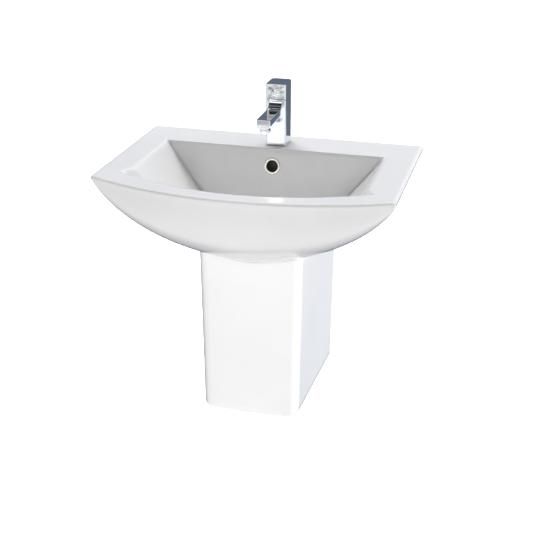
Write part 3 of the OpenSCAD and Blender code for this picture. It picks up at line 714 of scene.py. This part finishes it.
def make_small_chrome():
    at = (0, (-TAP_Y + AERATOR_Y) * MM, DECK)
    low = SPOUT_LOW - AERATOR_DROP
    r0, r1, r2 = AERATOR_INNER, AERATOR_R - 0.1, AERATOR_R + 1.3
    profile = ([(r0, low + 0.6)] + arc(r0 + 0.6, low + 0.6, 0.6, 180, 270, 3)
               + arc(r2 - 0.8, low + 0.8, 0.8, 270, 360, 4)
               + [(r2, low + 2.6), (r2 - 0.3, low + 2.8), (r2 - 0.3, low + 3.3), (r2, low + 3.5)]
               + [(r2, SPOUT_LOW - 1.0)] + arc(r2 - 0.7, SPOUT_LOW - 1.0, 0.7, 0, 90, 3)
               + [(r1, SPOUT_LOW - 0.3), (r1, SPOUT_LOW + 11), (r0, SPOUT_LOW + 11)])
    housing = lathe("aerator_ring", profile, at)
    shade(housing, 30)
    finish_piece(housing, "chrome", "fixture", ["aerator_housing"])

    ring_at = (0, -(SHELF_D + BACK_RUN * OVERFLOW_LOW) * MM, DECK - OVERFLOW_LOW * MM)
    facing = math.pi / 2 - BACK_TILT
    profile = (arc(12.6, 0.7, 1.7, 180, 90, 5) + arc(14.2, 1.1, 1.3, 90, 0, 6)
               + [(15.5, 0.0), (12.3, 0.0), (12.3, -6), (11, -6), (11, 0.2)])
    ring = lathe("overflow_trim", profile, ring_at, 128, facing)
    shade(ring, 40)
    finish_piece(ring, "satin", "fixture", ["overflow_ring"])

    # Black rubber cup in the ring's bore: painted shade, standing in for the darkness deep inside the overflow
    profile = [(0, -10.5), (10.9, -10.5), (10.9, -2.0), (10.2, -2.0), (10.2, -9.8), (0, -9.8)]
    shade_socket = lathe("overflow_painted_shade_socket", profile, ring_at, 64, facing)
    shade(shade_socket, 40)
    finish_piece(shade_socket, "rubber", "fixture", [])

    cap_low, cap_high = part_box("plug_cap")
    cap_at = (0, cap_low.y + 0.03, cap_low.z)
    dome = (cap_high.z - cap_low.z) / MM
    crown = [(30 * math.sin(math.radians(a)), 1.9 + (dome - 1.9) * math.cos(math.radians(a)) ** 0.8)
             for a in np.linspace(0, 84, 14)]
    profile = [(0, dome)] + crown[1:] + arc(29.0, 1.0, 1.0, 30, -90, 5) + [(26, 0), (0, 0)]
    cap = lathe("plug_cap_chrome", profile, cap_at, 128)
    shade(cap, 35)
    finish_piece(cap, "chrome", "plug", ["plug_cap"])

    ros_low, ros_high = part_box("wall_rosette")
    ros_at = (0, 0, (ros_low.z + ros_high.z) / 2)
    profile = ([(16.2, 0), (33, 0), (33, 1.0)] + arc(32, 1.2, 1.0, 0, 60, 4) + arc(27, 7.5, 5.8, 250, 200, 6)
               + [(21.0, 6.6)] + arc(19.8, 6.8, 1.2, 0, 90, 4) + [(16.2, 8)])
    rosette = lathe("rosette_chrome", profile, ros_at, 128, math.pi / 2)
    shade(rosette, 35)
    finish_piece(rosette, "chrome", "fixture", ["wall_rosette"])


# ---------------------------------------------------------------- the other pieces

FINISHES = {"chrome": "chrome", "white_plastic": "plastic", "brass": "brass", "steel": "steel", "rubber": "rubber",
            "disc_ceramic": "disc", "glazed_ceramic": "glaze", "sealant": "sealant"}


def make_spring():
    """The plug's return spring, wound round the stem, built at one fixed length."""
    low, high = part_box("plug_spring")
    wire, turns, per_turn, sides = 0.8, 7, 28, 10
    radius = (high.x - low.x) / 2 / MM - wire
    length = (high.z - low.z) / MM
    rings = []
    for i in range(turns * per_turn + 1):
        share = i / (turns * per_turn)
        a = 2 * math.pi * turns * share
        rise = wire + (length - 2 * wire) * share
        rings.append([((radius + wire * math.cos(b)) * math.cos(a), (radius + wire * math.cos(b)) * math.sin(a),
                       rise + wire * math.sin(b)) for b in np.linspace(0, 2 * math.pi, sides, endpoint=False)])
    spring = loft("plug_return_spring", rings, (0, (low.y + high.y) / 2, low.z))
    shade(spring, 60)
    finish_piece(spring, "steel", "fixture", ["plug_spring"])
    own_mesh(spring)


def dress_cad_nodes():
    """Every CAD piece that stays gets its material and, where it has hard edges, a small rounding."""
    for part in frame["record"]["subparts"]:
        obj = nodes[part["node"]]
        obj.data.materials.clear()
        obj.data.materials.append(MATERIALS[FINISHES[part["material_slot"]]])
        if not obj.hide_render:
            weld = obj.modifiers.new("weld", "WELD")
            weld.merge_threshold = 0.00001
            soften(obj, 0.25, 40, 2)


# ---------------------------------------------------------------- studio

def area(name, at, towards, size, power, mirrored=True):
    """A soft box; one that isn't mirrored lights the object but doesn't show in its gloss."""
    data = bpy.data.lights.new(name, "AREA")
    data.shape = "RECTANGLE"
    data.size, data.size_y = size
    data.energy = power
    obj = bpy.data.objects.new(name, data)
    obj.location = at
    obj.rotation_euler = (Vector(towards) - Vector(at)).to_track_quat("-Z", "Y").to_euler()
    obj.visible_camera = False
    obj.visible_glossy = mirrored
    bpy.context.scene.collection.objects.link(obj)


def studio_world():
    """A studio seen by direction: a pale front, a darker room behind the wall and small cards in front."""
    world = bpy.data.worlds.new("studio")
    world.use_nodes = True
    tree = world.node_tree
    split = add(tree, "ShaderNodeSeparateXYZ")
    coords = add(tree, "ShaderNodeTexCoord")
    tree.links.new(coords.outputs["Generated"], split.inputs["Vector"])

    def band(source, start, end, soft):
        """1 where the source lies between start and end, with soft edges."""
        up = spread(tree, source, 0, 1, start - soft, start + soft)
        down = spread(tree, source, 1, 0, end - soft, end + soft)
        both = add(tree, "ShaderNodeMath", operation="MULTIPLY")
        tree.links.new(up, both.inputs[0])
        tree.links.new(down, both.inputs[1])
        return both.outputs["Value"]

    def over(factor, under, top):
        mix = add(tree, "ShaderNodeMix", data_type="RGBA")
        tree.links.new(factor, mix.inputs["Factor"])
        if isinstance(under, tuple):
            mix.inputs["A"].default_value = (*under, 1)
        else:
            tree.links.new(under, mix.inputs["A"])
        mix.inputs["B"].default_value = (*top, 1)
        return mix.outputs["Result"]

    def patch(towards, reach, size, low, high):
        """Scattered spots within reach of one direction: 1 on a spot, 0 beside it."""
        away = add(tree, "ShaderNodeVectorMath", operation="DISTANCE")
        tree.links.new(coords.outputs["Generated"], away.inputs[0])
        away.inputs[1].default_value = Vector(towards).normalized()
        inside = spread(tree, away.outputs["Value"], 1, 0, reach * 0.75, reach)
        spots = add(tree, "ShaderNodeTexNoise")
        spots.inputs["Scale"].default_value = 1 / size
        spots.inputs["Detail"].default_value = 1.0
        tree.links.new(coords.outputs["Generated"], spots.inputs["Vector"])
        both = add(tree, "ShaderNodeMath", operation="MULTIPLY")
        tree.links.new(inside, both.inputs[0])
        tree.links.new(spread(tree, spots.outputs["Fac"], 0, 1, low, high), both.inputs[1])
        return both.outputs["Value"]

    sky = over(spread(tree, split.outputs["X"], 0, 1, -0.6, 0.6), FRONT_LEFT, FRONT_RIGHT)
    sky = over(band(split.outputs["Z"], -2, -0.02, 0.06), sky, FRONT_LOW)
    for towards, reach, size, low, high, shade_of in CLUTTER:
        sky = over(patch(towards, reach, size, low, high), sky, shade_of)
    sky = over(spread(tree, split.outputs["Y"], 0, 1, -0.08, 0.22), sky, BEHIND)
    tree.links.new(sky, tree.nodes["Background"].inputs["Color"])
    bpy.context.scene.world = world


FRONT_LEFT, FRONT_RIGHT, FRONT_LOW = (0.26, 0.26, 0.27), (0.36, 0.36, 0.36), (0.86, 0.86, 0.86)
BEHIND = (0.13, 0.16, 0.21)
# Cards that polished metal mirrors: direction, reach, spot size, the noise's range from bare to spot, and shade
AHEAD, ABOVE = (-0.24, -0.886, 0.398), (-0.245, -0.45, 0.86)
FACING, BELOW = (-0.246, -0.939, -0.238), (-0.248, -0.925, -0.30)
BLACK, WHITE = (0.01, 0.01, 0.015), (1.6, 1.6, 1.6)
CLUTTER = [(BELOW, 0.085, 1, -1, -0.5, (0.50, 0.50, 0.51)),
           (ABOVE, 0.50, 0.12, 0.36, 0.44, BLACK),
           (AHEAD, 0.34, 0.08, 0.30, 0.40, WHITE),
           (AHEAD, 0.30, 0.05, 0.54, 0.60, BLACK),
           (FACING, 0.024, 0.006, 0.46, 0.52, WHITE),
           (FACING, 0.024, 0.005, 0.53, 0.56, BLACK)]


def make_studio():
    half, drop = 60000, 0.85
    corners = [(-half, -half, 0), (half, -half, 0), (half, half, 0), (-half, half, 0)]
    floor = mesh_from("floor", corners, [(0, 1, 2, 3)], (0, 0, DECK - drop))
    floor.data.materials.append(paint_floor())
    floor.visible_glossy = False
    floor.visible_diffuse = False
    studio_world()
    area("front_fill", (0.3, -3.2, -0.35), (0, -0.2, -0.15), (3.0, 1.0), 47, mirrored=False)
    area("key", (1.3, 0.6, 2.2), (0, -0.2, 0), (1.6, 1.6), 3)
    area("back", (-0.5, 1.9, 2.9), (0, -0.2, 0), (3.0, 2.0), 210, mirrored=False)
    area("behind_right", (3.0, 1.4, -0.2), (0, -0.2, -0.2), (2.0, 2.0), 180, mirrored=False)
    scene = bpy.context.scene
    scene.view_settings.view_transform = "Standard"
    scene.view_settings.look = "None"


MATERIALS = {
    "glaze": glaze("glaze", (0.732, 0.726, 0.724)),
    # A lighter copy of the basin's glaze for the pedestal: painted light, for the stronger light that falls on its
    # front and side
    "lit_shroud_glaze": glaze("lit_shroud_glaze", (0.90, 0.90, 0.905)),
    "chrome": chrome(),
    "satin": satin_nickel(),
    "plastic": plastic(),
    "rubber": rubber(),
    "brass": brass(),
    "steel": steel(),
    "disc": disc_ceramic(),
    "sealant": sealant(),
}

make_camera()
make_basin()
make_shroud()
make_tap_body()
make_lever()
make_small_chrome()
make_spring()
dress_cad_nodes()
make_studio()
